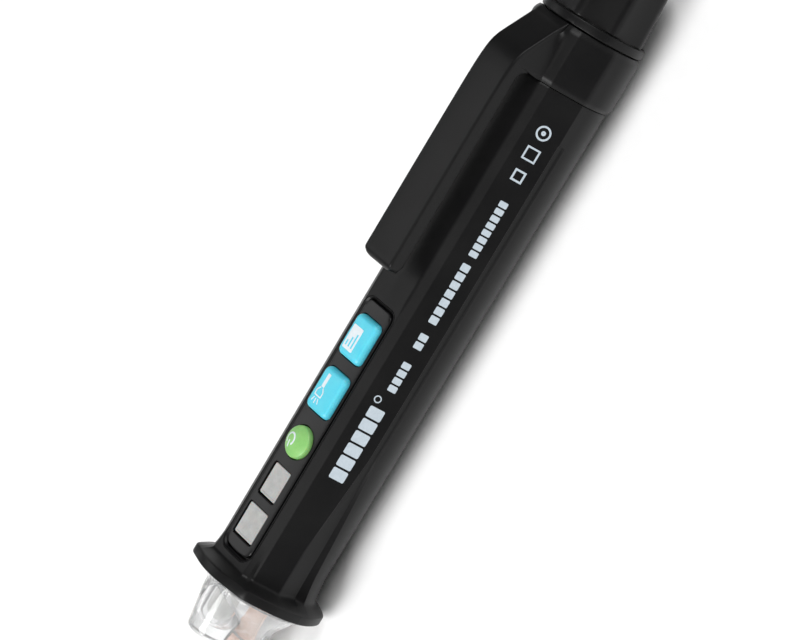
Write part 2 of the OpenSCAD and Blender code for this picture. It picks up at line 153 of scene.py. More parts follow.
def clear_material():
    m = bpy.data.materials.new("clear")
    m.use_nodes = True
    nt = m.node_tree
    b = nt.nodes["Principled BSDF"]
    tc = nt.nodes.new("ShaderNodeTexCoord")
    co = tc.outputs["Object"]
    flow = noise(nt, co, 220, 3, 0.5)
    fine = noise(nt, co, 2600, 2, 0.5)
    nt.links.new(ramp(nt, flow, [(0.3, (0.96, 0.97, 0.975)), (0.7, (0.995, 0.995, 0.995))]), b.inputs["Base Color"])
    nt.links.new(remap(nt, flow, 0.02, 0.06), b.inputs["Roughness"])
    bp = nt.nodes.new("ShaderNodeBump")
    bp.inputs["Strength"].default_value = 0.12
    bp.inputs["Distance"].default_value = 2e-5
    nt.links.new(math_node(nt, "ADD", flow, math_node(nt, "MULTIPLY", fine, 0.25)), bp.inputs["Height"])
    nt.links.new(bp.outputs["Normal"], b.inputs["Normal"])
    b.inputs["Transmission Weight"].default_value = 0.79
    b.inputs["IOR"].default_value = 1.42
    return m


MATS["clear"] = clear_material()


# ---------------------------------------------------------------- mesh helpers
def build(name, verts, faces, smooth=32, raw=False):
    v = np.array(verts, float)
    v = v * MM + np.array([0, 0, AX * MM])
    me = bpy.data.meshes.new(name)
    me.from_pydata(v.tolist(), [], faces)
    o = bpy.data.objects.new(name, me)
    bpy.context.scene.collection.objects.link(o)
    clean(o, smooth)
    return o


def clean(o, smooth=32, merge=2e-7):
    bm = bmesh.new()
    bm.from_mesh(o.data)
    bmesh.ops.remove_doubles(bm, verts=bm.verts, dist=merge)
    bmesh.ops.dissolve_degenerate(bm, edges=bm.edges, dist=merge)
    loose = [v for v in bm.verts if not v.link_faces]
    if loose:
        bmesh.ops.delete(bm, geom=loose, context="VERTS")
    bmesh.ops.recalc_face_normals(bm, faces=bm.faces)
    lim = math.radians(smooth)
    for f in bm.faces:
        f.smooth = True
    for e in bm.edges:
        e.smooth = len(e.link_faces) == 2 and e.calc_face_angle(0) < lim
    bm.to_mesh(o.data)
    bm.free()
    o.data.update()


def tidy(o, tiny=1e-6):
    """Drops the slivers that a boolean leaves: needle faces, folded pairs and specks."""
    bm = bmesh.new()
    bm.from_mesh(o.data)
    bmesh.ops.triangulate(bm, faces=[f for f in bm.faces if len(f.verts) > 4])
    bmesh.ops.remove_doubles(bm, verts=bm.verts, dist=tiny)
    bmesh.ops.dissolve_degenerate(bm, edges=bm.edges, dist=tiny)
    bm.verts.index_update()
    same = {}
    for f in bm.faces:
        same.setdefault(frozenset(v.index for v in f.verts), []).append(f)
    twins = [f for g in same.values() if len(g) > 1 for f in g]
    if twins:
        bmesh.ops.delete(bm, geom=twins, context="FACES")
    walls = [f for f in bm.faces if sum(len(e.link_faces) > 2 for e in f.edges) >= 3]
    if walls:
        bmesh.ops.delete(bm, geom=walls, context="FACES")
    bm.to_mesh(o.data)
    bm.free()


def boolean(o, cutters, op="DIFFERENCE"):
    """Applies exact booleans and drops the cutters."""
    for c in cutters:
        md = o.modifiers.new("b", "BOOLEAN")
        md.operation = op
        md.solver = "EXACT"
        md.object = c
    bpy.context.view_layer.update()
    dg = bpy.context.evaluated_depsgraph_get()
    me = bpy.data.meshes.new_from_object(o.evaluated_get(dg))
    o.modifiers.clear()
    o.data = me
    for c in cutters:
        bpy.data.objects.remove(c)
    return o


def finish(o, body, slot, smooth=32, replaces=(), mat=None, weighted=True):
    clean(o, smooth)
    o.data.materials.clear()
    o.data.materials.append(MATS[mat or slot])
    if weighted:
        w = o.modifiers.new("weighted", "WEIGHTED_NORMAL")
        w.keep_sharp = True
        w.weight = 60
    if body:
        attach(o, body)
    if replaces:
        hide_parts(*replaces)
    return o


def loft(rings, caps=True, ring_closed=True, torus=False):
    R = len(rings)
    N = len(rings[0])
    verts = [p for r in rings for p in r]
    faces = []
    last = N if ring_closed else N - 1
    for i in range(R if torus else R - 1):
        j = (i + 1) % R
        for k in range(last):
            l = (k + 1) % N
            faces.append((i * N + k, i * N + l, j * N + l, j * N + k))
    if caps and not torus:
        faces.append(tuple(range(N))[::-1])
        faces.append(tuple((R - 1) * N + k for k in range(N)))
    return verts, faces


def fillet_path(keys, rad, nf=3, ns=1):
    """Open 2D path through keys with rounded corners and a fixed number of points."""
    K = [np.array(k, float) for k in keys]
    n = len(K)
    ns = [ns] * (n - 1) if isinstance(ns, int) else ns
    ins, outs, mids = [None] * n, [None] * n, [None] * n
    for i in range(n):
        if i in (0, n - 1):
            ins[i] = outs[i] = K[i]
            mids[i] = []
            continue
        a, b = K[i] - K[i - 1], K[i + 1] - K[i]
        la, lb = np.linalg.norm(a), np.linalg.norm(b)
        a, b = a / la, b / lb
        t = rad[i] * math.tan(0.5 * math.acos(np.clip(a @ b, -1, 1)))
        t = max(min(t, 0.42 * la, 0.42 * lb), 0.004)
        p, q = K[i] - a * t, K[i] + b * t
        ins[i], outs[i] = p, q
        mids[i] = [(1 - s) ** 2 * p + 2 * s * (1 - s) * K[i] + s * s * q for s in np.linspace(0, 1, nf + 2)[1:-1]]
    pts = [K[0]]
    for i in range(1, n):
        s0, s1 = outs[i - 1], ins[i]
        for s in np.linspace(0, 1, ns[i - 1] + 2)[1:-1]:
            pts.append(s0 + (s1 - s0) * s)
        pts.append(s1)
        if i < n - 1:
            pts += mids[i]
            pts.append(outs[i])
    return pts


def mirror_ring(half):
    """half runs from the top centre to the bottom centre at +Y; the ring closes at -Y."""
    return [tuple(p) for p in half] + [(-p[0], p[1]) for p in half[-2:0:-1]]


def rr(x0, x1, hw, r, n=8, bulge=0.0, yc=0.0):
    """Rounded rectangle in XY, anticlockwise, n points per corner; bulge bows out the x0 end."""
    r = max(min(r, hw - 0.02, (x1 - x0) / 2 - 0.02), 0.02)
    pts = []
    for cx, cy, a in ((x1 - r, hw - r, 0), (x0 + r, hw - r, 90), (x0 + r, -hw + r, 180), (x1 - r, -hw + r, 270)):
        for t in np.linspace(a, a + 90, n):
            x = cx + r * math.cos(math.radians(t))
            y = cy + r * math.sin(math.radians(t))
            if bulge and x < x0 + r + 1e-6:
                x -= bulge * max(0.0, 1 - (y / hw) ** 2) * (x0 + r - x) / r
            pts.append((x, y + yc))
    return pts


def stack(levels, outline, cap=True):
    """Loft of plan outlines: levels are (z, growth)."""
    rings = [[(x, y, z) for x, y in outline(g)] for z, g in levels]
    return loft(rings)


# ---------------------------------------------------------------- barrel
BELLY = 10.05


def barrel_keys(x):
    t = min(max((-20.5 - x) / 29.8, 0), 1)
    tz = min(max((-20.5 - x) / 20.5, 0), 1)
    e1z = 2.0 + 1.5 * tz
    E1 = np.array([10.1 - 0.548 * (e1z - 2), e1z])
    e2z = 0.28 - 2.6 * t
    E2 = np.array([math.sqrt(BELLY ** 2 - e2z ** 2), e2z])
    F1 = np.array([9.78 - 0.45 * tz, 1.80 + 1.40 * tz])
    F2 = np.array([9.74 - 0.68 * t, 0.50 - 1.34 * t])
    if x > 45.1:
        u = (x - 45.1) / 0.8
        k = math.sqrt(1 - u * u) if u < 1 else 0.0
        for P in (F1, F2):
            s = (E1[1] - P[1]) / (E1[1] - E2[1])
            L = E1 + (E2 - E1) * s
            P += (L - P) * (1 - k)
    A, B = np.array([4.92, 9.42]), np.array([6.7, 8.2])
    f = 0.6 * ((-43.65 - x) / 6.75) ** 2 if x < -43.65 else 0.0
    def fl(p, w):
        return p * (1 + f * w / np.linalg.norm(p))
    W1, W2 = A + 0.50 * (B - A), A + 0.80 * (B - A)
    keys = [fl(np.array([0, 9.6]), 1), fl(A, 1), fl(W1, 1), W2, B, E1, F1, F2, fl(E2, 1)]
    return keys, f


def barrel_half(x, k=1.0):
    keys, f = barrel_keys(x)
    ra = float(np.interp(x, [5, 8], [0.3, 1.6]))
    path = fillet_path(keys, [0, ra, 0.1, 0.1, float(np.interp(x, [-50, -44], [0.5, 0.9])), 0.14, 0.10, 0.10, 0], nf=4, ns=[5, 1, 1, 1, 5, 1, 3, 1])
    e2 = keys[-1]
    a0 = math.degrees(math.atan2(e2[0], e2[1]))
    arc = list(np.linspace(a0, 137, 12)[1:]) + list(np.linspace(137, 161.5, 7)[1:]) + list(np.linspace(161.5, 180, 6)[1:])
    R = BELLY + f
    path += [np.array([R * math.sin(math.radians(a)), R * math.cos(math.radians(a))]) for a in arc]
    path[-1] = np.array([0.0, path[-1][1]])
    return [p * k for p in path]


def guard_r(a):
    return 12.88 + 0.84 / math.cosh((a - 41) / 6.5) + 0.42 / math.cosh((a - 137) / 8) + 0.05 / math.cosh(a / 6)


def guard_half(base):
    """Guard outline with one point for each point of the barrel's half outline."""
    a_in = [0, 27.2, 39.3, 69.3, 103.5, 137, 161.5, 180]
    a_out = [0, 28.8, 41.0, 69.3, 103.5, 137, 161.5, 180]
    out = []
    for p in base:
        a = math.degrees(math.atan2(p[0], p[1]))
        a = float(np.interp(a, a_in, a_out))
        r = guard_r(a)
        y, z = r * math.sin(math.radians(a)), r * math.cos(math.radians(a))
        out.append(np.array([y, max(z, -AX)]))
    out[-1][0] = 0.0
    return out


def ring_at(x, half):
    return [(x, y, z) for y, z in mirror_ring(half)]


def circle_like(half, r, zmax=None):
    out = []
    for p in half:
        a = math.atan2(p[0], p[1])
        q = r if zmax is None or math.cos(a) <= 0 else min(r, zmax / max(math.cos(a), 1e-6))
        out.append(np.array([q * math.sin(a), q * math.cos(a)]))
    out[0][0] = out[-1][0] = 0.0
    return out


def make_barrel():
    base = barrel_half(-50.0)
    gh = guard_half(base)
    def mix(s, k=1.0):
        return [(b * (1 - s) + g * s) * k for b, g in zip(base, gh)]
    rings = []
    inner = circle_like(base, 9.0)
    front = [(-53.8, 9.0 / 12.9), (-53.8, 0.80), (-53.8, 0.955), (-53.74, 0.978), (-53.6, 0.993), (-53.38, 1.0)]
    for x, k in front:
        if k < 0.79:
            rings.append(ring_at(x, inner))
        else:
            rings.append(ring_at(x, [np.array([p[0] * k, max(p[1] * k, -AX)]) for p in gh]))
    for x, s in [(-52.7, 1.0), (-52.15, 1.0), (-51.92, 0.985), (-51.76, 0.93), (-51.62, 0.84), (-51.3, 0.62), (-50.95, 0.38),
                 (-50.7, 0.21), (-50.5, 0.10), (-50.3, 0.035), (-50.05, 0.0)]:
        rings.append(ring_at(x, mix(s)))
    xs = list(np.arange(-49.6, -43.3, 0.5)) + [-42.5, -41.0, -40.2, -38.5, -36, -33.5, -31, -28.5, -26, -23.5, -21.5, -20.5, -19.5]
    xs += [-12, -4, 4, 5, 6, 7, 8] + list(np.arange(16, 45, 8.0)) + [45.1, 45.25, 45.4, 45.55, 45.7, 45.8, 45.86, 45.9, 46.2, 50, 53.6, 54.1]
    for x in xs:
        rings.append(ring_at(x, barrel_half(x)))
    rings.append(ring_at(54.26, barrel_half(54.2, 0.992)))
    rings.append(ring_at(54.33, barrel_half(54.2, 0.965)))
    b = barrel_half(50)
    rings.append(ring_at(54.34, circle_like(b, 9.0)))
    rings.append(ring_at(65.1, circle_like(b, 9.0)))
    rings.append(ring_at(65.4, circle_like(b, 8.75)))
    rings.append(ring_at(65.4, circle_like(b, 8.25)))
    rings.append(ring_at(65.15, circle_like(b, 8.0)))
    rings.append(ring_at(45.0, circle_like(b, 8.0)))
    rings.append(ring_at(44.98, circle_like(b, 8.5, 7.4)))
    rings.append(ring_at(-50.15, circle_like(base, 8.5, 7.4)))
    rings.append(ring_at(-50.17, circle_like(base, 9.0)))
    v, f = loft(rings, torus=True)
    o = build("barrel_shell", v, f)
    cut = []
    def plan(g):
        return rr(-48.1 - g, 4.6 + g, 4.22 + g, 1.6 + g, 10, 0.45)
    cut.append(build("c0", *stack([(8.4, 0), (9.12, 0), (9.2, 0.03), (9.44, 0.34), (9.5, 0.40), (12, 0.42)], plan)))
    po, pi = plan(0.60), plan(0.47)
    cut.append(build("c4", *loft([[(x, y, 9.22) for x, y in po], [(x, y, 12) for x, y in po], [(x, y, 12) for x, y in pi], [(x, y, 9.22) for x, y in pi]], torus=True)))
    for x0, x1, hw in ((-45.4, -38.9, 3.05), (-36.7, -30.2, 2.7)):
        cut.append(build("c1", *stack([(6.6, 0), (8.8, 0)], lambda g: rr(x0 - 0.12, x1 + 0.12, hw + 0.22, 0.5, 5))))
    for x0, x1, hw in ((-19.15, -9.0, 4.2), (-7.75, 2.3, 4.2)):
        cut.append(build("c2", *stack([(6.6, 0), (8.8, 0)], lambda g: rr(x0, x1, hw, 1.8, 6))))
    cut.append(build("c3", *stack([(6.6, 0), (8.8, 0)], lambda g: [(-24.6 + 4.1 * math.cos(a), 4.1 * math.sin(a)) for a in np.linspace(0, 2 * math.pi, 49)[:-1]])))
    boolean(o, cut)
    return finish(o, "housing", "black_plastic", 30, ["barrel"])


# ---------------------------------------------------------------- panel strip, windows, buttons
TORCH = (-18.4, -9.72, 3.36)
SENS = (-6.95, 1.55, 3.32)
POWER_X = -24.68


def strip_top(y):
    return 9.70 - 0.0075 * y * y


def make_strip():
    hw0, x0, x1, r = 4.07, -47.6, 4.4, 1.5
    rings = []
    xs = [x0 + r * (1 - math.cos(t)) for t in np.linspace(0.0, math.pi / 2, 9)]
    xs += list(np.arange(-45.5, 2.5, 2.0)) + [x1 - r * (1 - math.cos(t)) for t in np.linspace(math.pi / 2, 0.0, 9)]
    for i, x in enumerate(xs):
        d = max(0.0, x0 + r - x, x - x1 + r)
        hw = hw0 - r + math.sqrt(max(r * r - d * d, 0))
        e = min(1.0, min(x - x0, x1 - x) / 0.22)
        drop = 0.16 * (1 - math.sqrt(max(0.0, 1 - (1 - e) ** 2)))
        half = [np.array([0, 0.0])]
        ys = np.linspace(0, hw - 0.22, 6)[1:]
        top = [np.array([0, strip_top(0) - drop])] + [np.array([y, strip_top(y) - drop]) for y in ys]
        zt = strip_top(hw) - drop
        top += [np.array([hw - 0.09, zt - 0.03]), np.array([hw - 0.02, zt - 0.10]), np.array([hw, zt - 0.2])]
        bot = [np.array([hw, 8.42]), np.array([hw * 0.5, 8.42]), np.array([0, 8.42])]
        off = 0.0
        if x < x0 + r:
            pass
        rings.append([(x - (0.45 * max(0, 1 - (y / hw0) ** 2) * max(0, (x0 + r - x) / r)), y, z) for y, z in mirror_ring(top + bot)])
    v, f = loft(rings)
    o = build("panel_strip_plate", v, f)
    cut = []
    def hole(plan):
        return build("c", *stack([(8.0, 0), (9.5, 0), (9.8, 0.22), (10.5, 0.3)], plan))
    cut.append(hole(lambda g: rr(-45.72 - g, -38.88 + g, 3.12 + g, 0.4 + g, 5, 0, 0.28)))
    cut.append(hole(lambda g: rr(-36.98 - g, -30.18 + g, 2.70 + g, 0.4 + g, 5, 0, 0.32)))
    for c in (TORCH, SENS):
        cut.append(hole(lambda g: rr(c[0] - 0.14 - g, c[1] + 0.14 + g, c[2] + 0.14 + g, 1.25 + g, 8)))
    cut.append(hole(lambda g: [(POWER_X + (3.30 + g) * math.cos(a), (3.30 + g) * math.sin(a)) for a in np.linspace(0, 2 * math.pi, 65)[:-1]]))
    boolean(o, cut)
    return finish(o, "housing", "panel_black", 28, ["panel_strip"])


def make_window(name, x0, x1, hw, node):
    def plan(g):
        return rr(x0 - g, x1 + g, hw + g, 0.35 + g, 5, 0, 0.19)
    lv = [(6.97, -0.1), (7.0, 0), (9.42, 0), (9.52, -0.03), (9.58, -0.10), (9.60, -0.2), (9.59, -0.38), (9.53, -0.46), (9.50, -0.52), (9.50, -1.2)]
    o = build(name, *stack(lv, plan))
    return finish(o, "housing", "frosted", 40, [node])


def button_top(c, x, y, top=10.95):
    u = (x - (c[0] + c[1]) / 2) / ((c[1] - c[0]) / 2)
    w = y / c[2]
    return top - 0.10 * u * u - 0.16 * w * w


def make_long_button(name, c, body, node):
    def plan(g):
        return rr(c[0] - g, c[1] + g, c[2] + g, max(1.15 + 0.75 * g, 0.3), 9)
    lv = [(7.62, -0.6), (7.75, -0.5), (7.76, 0.30), (7.82, 0.40), (8.28, 0.40), (8.35, 0.32), (8.36, 0.0), (9.55, 0.0), (9.9, -0.03), (10.2, -0.10),
          (10.42, -0.20), (10.6, -0.34), (10.72, -0.52), (10.79, -0.75), (10.8, -1.05), (10.8, -1.6), (10.8, -2.2), (10.8, -2.8)]
    rings = []
    for z, g in lv:
        ring = []
        for x, y in plan(g):
            zz = z
            if z > 9.5:
                w = min(1.0, (z - 9.5) / 1.2)
                zz = z + w * (button_top(c, x, y) - 10.8)
            ring.append((x, y, zz))
        rings.append(ring)
    o = build(name, *loft(rings))
    return finish(o, body, "teal", 50, [node])


def dome_z(x, y):
    R = 5.6
    d2 = (x - POWER_X) ** 2 + y * y
    return 11.25 - (R - math.sqrt(max(R * R - d2, 0)))


def make_power():
    prof = [(7.62, 1.35), (7.75, 1.4), (7.76, 3.5), (7.82, 3.6), (8.28, 3.6), (8.35, 3.45), (8.36, 3.15), (9.6, 3.15), (9.95, 3.14), (10.2, 3.10),
            (10.37, 3.02), (10.47, 2.9), (10.53, 2.76)]
    rings = []
    n = 64
    for z, r in prof:
        rings.append([(POWER_X + r * math.cos(a), r * math.sin(a), z) for a in np.linspace(0, 2 * math.pi, n + 1)[:-1]])
    for r in (2.62, 2.3, 1.9, 1.5, 1.1, 0.7, 0.3):
        rings.append([(POWER_X + r * math.cos(a), r * math.sin(a), dome_z(POWER_X + r, 0)) for a in np.linspace(0, 2 * math.pi, n + 1)[:-1]])
    o = build("power_button_cap", *loft(rings))
    return finish(o, "power_press", "green", 50, ["power_button"])


# ---------------------------------------------------------------- raised marks
def plate(pts_grid, normal_fn, t=0.03, sink=0.05):
    """Closed thin plate from a grid of surface points (rows of equal length)."""
    g = np.array(pts_grid, float)
    R, C, _ = g.shape
    nrm = np.array([[normal_fn(p) for p in row] for row in g])
    up = (g + nrm * t).reshape(-1, 3)
    dn = (g - nrm * sink).reshape(-1, 3)
    v = np.vstack([up, dn])
    n = R * C
    f = []
    for i in range(R - 1):
        for j in range(C - 1):
            a, b, c, d = i * C + j, i * C + j + 1, (i + 1) * C + j + 1, (i + 1) * C + j
            f.append((a, b, c, d))
            f.append((n + d, n + c, n + b, n + a))
    edge = [(0, j) for j in range(C)] + [(i, C - 1) for i in range(1, R)] + [(R - 1, j) for j in range(C - 2, -1, -1)] + [(i, 0) for i in range(R - 2, 0, -1)]
    idx = [i * C + j for i, j in edge]
    for k in range(len(idx)):
        a, b = idx[k], idx[(k + 1) % len(idx)]
        f.append((a, n + a, n + b, b))
    return v, f


def bar2d(p, q, w, n=6, m=3):
    """Rounded bar between p and q as a grid of 2D points."""
    p, q = np.array(p, float), np.array(q, float)
    d = (q - p) / max(np.linalg.norm(q - p), 1e-9)
    s = np.array([-d[1], d[0]])
    rows = []
    L = np.linalg.norm(q - p)
    r = w / 2
    us = list(-r * np.cos(np.linspace(0.25, math.pi / 2, 4))) + list(np.linspace(0, L, n)[1:-1]) + list(L + r * np.cos(np.linspace(math.pi / 2, 0.25, 4)))
    for u in us:
        e = max(0.0, -u, u - L)
        h = math.sqrt(max(r * r - e * e, 0.0))
        rows.append([p + d * u + s * h * t for t in np.linspace(-1, 1, m)])
    return rows


def arc2d(c, r, a0, a1, w, n=28):
    return [[np.array([c[0] + (r + s * w / 2) * math.cos(math.radians(a)), c[1] + (r + s * w / 2) * math.sin(math.radians(a))]) for s in (-1, 0, 1)]
            for a in np.linspace(a0, a1, n)]


def rect2d(x0, x1, y0, y1, n=5, m=5, r=0.0):
    rows = []
    xs = np.linspace(x0, x1, n)
    if r > 0:
        q = r * (1 - np.cos(np.linspace(0, math.pi / 2, 5)))
        xs = list(x0 + q) + list(np.linspace(x0 + r, x1 - r, n)[1:-1]) + list((x1 - q)[::-1])
    for x in xs:
        e = max(0.0, x0 + r - x, x - x1 + r)
        inset = r - math.sqrt(max(r * r - e * e, 0)) if r > 0 else 0
        rows.append([np.array([x, y]) for y in np.linspace(y0 + inset, y1 - inset, m)])
    return rows


def marks(name, grids, surf, body, t=0.035, sink=0.06):
    V, F = [], []
    for g in grids:
        pts = [[surf(p) for p in row] for row in g]
        def nf(p):
            return surf.normal
        v, f = plate(pts, nf, t, sink)
        off = sum(len(x) for x in V)
        V.append(v)
        F += [tuple(i + off for i in q) for q in f]
    o = build(name, np.vstack(V), F)
    tidy(o)
    return finish(o, body, "frosted", 40, mat="print" if body == "housing" else "mark_white", weighted=False)


class Top:
    normal = np.array([0, 0, 1.0])
    def __init__(self, fn):
        self.fn = fn
    def __call__(self, p):
        return np.array([p[0], p[1], self.fn(p[0], p[1])])


class Facet:
    """The flat side facet at -Y: coordinates are (x, distance down from its upper edge)."""
    def __init__(self):
        self.b = np.array([-6.7, 8.2])
        self.e = np.array([-10.1, 2.0])
        self.d = (self.e - self.b) / np.linalg.norm(self.e - self.b)
        n = np.array([self.d[1], -self.d[0]])
        if n[0] > 0:
            n = -n
        self.normal = np.array([0, n[0], n[1]])
    def __call__(self, p):
        q = self.b + self.d * p[1]
        return np.array([p[0], q[0], q[1]])


def make_marks():
    # power pictogram: open ring and a bar
    c = (POWER_X - 0.15, 1.05)
    marks("power_mark", [arc2d(c, 1.15, -138, 138, 0.36), bar2d((c[0] - 0.35, c[1]), (c[0] - 1.5, c[1]), 0.36)], Top(dome_z), "power_press")
    # torch pictogram: a small lamp and three rays
    cx = (TORCH[0] + TORCH[1]) / 2
    tt = Top(lambda x, y: button_top(TORCH, x, y))
    o = 0.95
    g = [rect2d(cx + 0.35, cx + 3.1, o - 0.42, o + 0.42, 5, 3, 0.12)]
    g += [bar2d((cx + 0.15, o + 0.42), (cx - 0.5, o + 0.95), 0.24), bar2d((cx + 0.15, o - 0.42), (cx - 0.5, o - 0.95), 0.24),
          bar2d((cx - 0.5, o + 0.95), (cx - 1.45, o + 0.95), 0.24), bar2d((cx - 0.5, o - 0.95), (cx - 1.45, o - 0.95), 0.24),
          bar2d((cx - 1.5, o + 0.95), (cx - 1.5, o - 0.95), 0.24)]
    g += [bar2d((cx - 2.05, o), (cx - 2.95, o), 0.22), bar2d((cx - 2.0, o + 0.6), (cx - 2.75, o + 0.95), 0.22), bar2d((cx - 2.0, o - 0.6), (cx - 2.75, o - 0.95), 0.22)]
    marks("torch_mark", g, tt, "torch_press")
    # sensitivity pictogram: a white tile with three rising bars left open
    cx = (SENS[0] + SENS[1]) / 2
    ts = Top(lambda x, y: button_top(SENS, x, y))
    g = []
    x0, x1, hw, r, yo = cx - 2.85, cx + 1.95, 1.55, 0.3, 0.75
    # rows of the tile, cut by three slots of rising length
    g.append(rect2d(x0, x0 + 0.62, yo - hw, yo + hw, 4, 5, 0.25))
    g.append(rect2d(x1 - 0.62, x1, yo - hw, yo + hw, 4, 5, 0.25))
    ys = yo + np.linspace(-hw, hw, 8)
    for k in range(7):
        if k % 2 == 0:
            g.append(rect2d(x0 + 0.60, x1 - 0.60, ys[k], ys[k + 1], 3, 3))
        else:
            ln = [2.9, 2.0, 1.1][k // 2]
            g.append(rect2d(x0 + 0.60 + ln, x1 - 0.60, ys[k], ys[k + 1], 3, 3))
    marks("sensitivity_mark", g, ts, "sensitivity_press")
    # plain bars and shapes on the side facet where the maker's print would be
    F = Facet()
    g = []
    def block(xa, xb, up, down, r=0.35):
        g.append(rect2d(xa, xb, up, down, 9, 3, r))
    def row(xa, xb, n, up, down, gap, r):
        w = (xb - xa - gap * (n - 1)) / n
        for k in range(n):
            x = xa + k * (w + gap)
            block(x, x + w, up, down, r)
    row(-26.7, -11.4, 6, 1.98, 5.02, 0.42, 0.3)
    g.append(arc2d((-9.9, 2.5), 0.62, 0, 360, 0.22))
    row(-7.6, -1.5, 4, 3.02, 4.72, 0.36, 0.2)
    row(1.5, 4.6, 2, 3.02, 4.72, 0.36, 0.2)
    row(6.9, 19.4, 7, 3.02, 4.72, 0.36, 0.2)
    row(21.0, 32.5, 8, 3.02, 4.72, 0.34, 0.2)
    def frame_mark(xa, xb, up, down, w):
        g.append(rect2d(xa, xa + w, up, down, 3, 3)); g.append(rect2d(xb - w, xb, up, down, 3, 3))
        g.append(rect2d(xa + w, xb - w, up, up + w, 3, 3)); g.append(rect2d(xa + w, xb - w, down - w, down, 3, 3))
    frame_mark(36.6, 38.9, 2.35, 4.65, 0.38)
    frame_mark(40.9, 43.55, 2.1, 4.85, 0.34)
    g.append(arc2d((46.6, 3.45), 1.25, 0, 360, 0.36, 40))
    g.append(arc2d((46.6, 3.45), 0.25, 0, 360, 0.4, 20))
    marks("side_print", g, F, "housing", 0.02, 0.05)


# ---------------------------------------------------------------- clip and collar
def smooth_interp(x, px, pz, w=0.8):
    d = np.linspace(-w, w, 9)
    return float(np.mean(np.interp(x + d, px, pz)))


def shoulder_z(x):
    px = [12, 14, 30, 46, 50, 52.5, 54.3, 54.9, 55.4, 56.0, 56.8, 57.35, 58.3, 59.3, 60.8, 62.3, 63.4, 64.6, 65.2, 65.7, 67]
    pz = [16.9, 16.9, 16.92, 16.88, 16.82, 16.72, 16.55, 16.47, 16.4, 16.26, 16.0, 15.78, 15.2, 14.5, 13.45, 12.4, 11.6, 10.75, 10.3, 10.0, 9.2]
    return smooth_interp(x, px, pz)


def ridge_z(x):
    px = [53, 54.3, 54.85, 55.6, 56.55, 57.5, 58.5, 59.6, 60.8, 62.7, 64.0, 65.0, 65.7, 67]
    pz = [16.5, 16.40, 16.33, 16.15, 15.85, 15.4, 14.85, 14.15, 13.3, 11.7, 10.45, 10.0, 9.8, 9.2]
    return smooth_interp(x, px, pz)


def under(x):
    return 1.0


def collar_half(x):
    k = 1.0547
    e = 1.0
    if x < 55.45:
        e = 1 - 0.048 * ((55.45 - x) / 1.05) ** 1.5
    if x > 64.3:
        e = 1 - 0.055 * ((x - 64.3) / 1.35) ** 1.6
    top = max(shoulder_z(x) - 0.30 * under(x), 10.12)
    A = np.array([4.95, 10.0]) * e
    B = np.array([7.05, 8.66]) * e
    rz = max(ridge_z(x) - 0.42 * under(x), 10.02)
    s = min(max((rz - 10.05) / 1.5, 0), 1)
    R = np.array([4.28, rz * (e if s <= 0 else 1)])
    C0 = np.array([0, top * (e if s <= 0 else 1)])
    # concave side of the shoulder: from the ridge down to the chamfer facet
    h = R[1] - B[1]
    foot = A * 0.8 + B * 0.2
    q1 = R + np.array([0.25 + 0.02 * h, -0.42 * h])
    q2 = foot + np.array([-0.55 * s - 0.05, 0.60 * s + 0.1 * h * s])
    bez = [(1 - t) ** 3 * R + 3 * t * (1 - t) ** 2 * q1 + 3 * t * t * (1 - t) * q2 + t ** 3 * foot for t in np.linspace(0, 1, 9)[1:]]
    flat = [R + (foot - R) * t for t in np.linspace(0, 1, 9)[1:]]
    side = [b * s + f * (1 - s) for b, f in zip(bez, flat)]
    # rounded ridge
    rr_ = 0.45
    p_in = C0 + (R - C0) * (1 - rr_ / np.linalg.norm(R - C0))
    d = side[0] - R
    p_out = R + d / np.linalg.norm(d) * min(rr_, 0.8 * np.linalg.norm(d))
    ridge = [(1 - t) ** 2 * p_in + 2 * t * (1 - t) * R + t * t * p_out for t in np.linspace(0, 1, 6)]
    path = [C0] + [C0 + (p_in - C0) * t for t in (0.25, 0.5, 0.75)] + ridge + side
    E1, E2 = np.array([10.1, 2.0]) * k * e, np.array([10.045, 0.28]) * k * e
    low = fillet_path([foot, B, E1, E2], [0, 1.2, 2.2, 0], nf=5, ns=[2, 5, 2])
    path += low[1:]
    a0 = math.degrees(math.atan2(E2[0], E2[1]))
    Rb = BELLY * k * e
    path += [np.array([Rb * math.sin(math.radians(a)), Rb * math.cos(math.radians(a))]) for a in np.linspace(a0, 180, 26)[1:]]
    path[-1] = np.array([0.0, path[-1][1]])
    return path


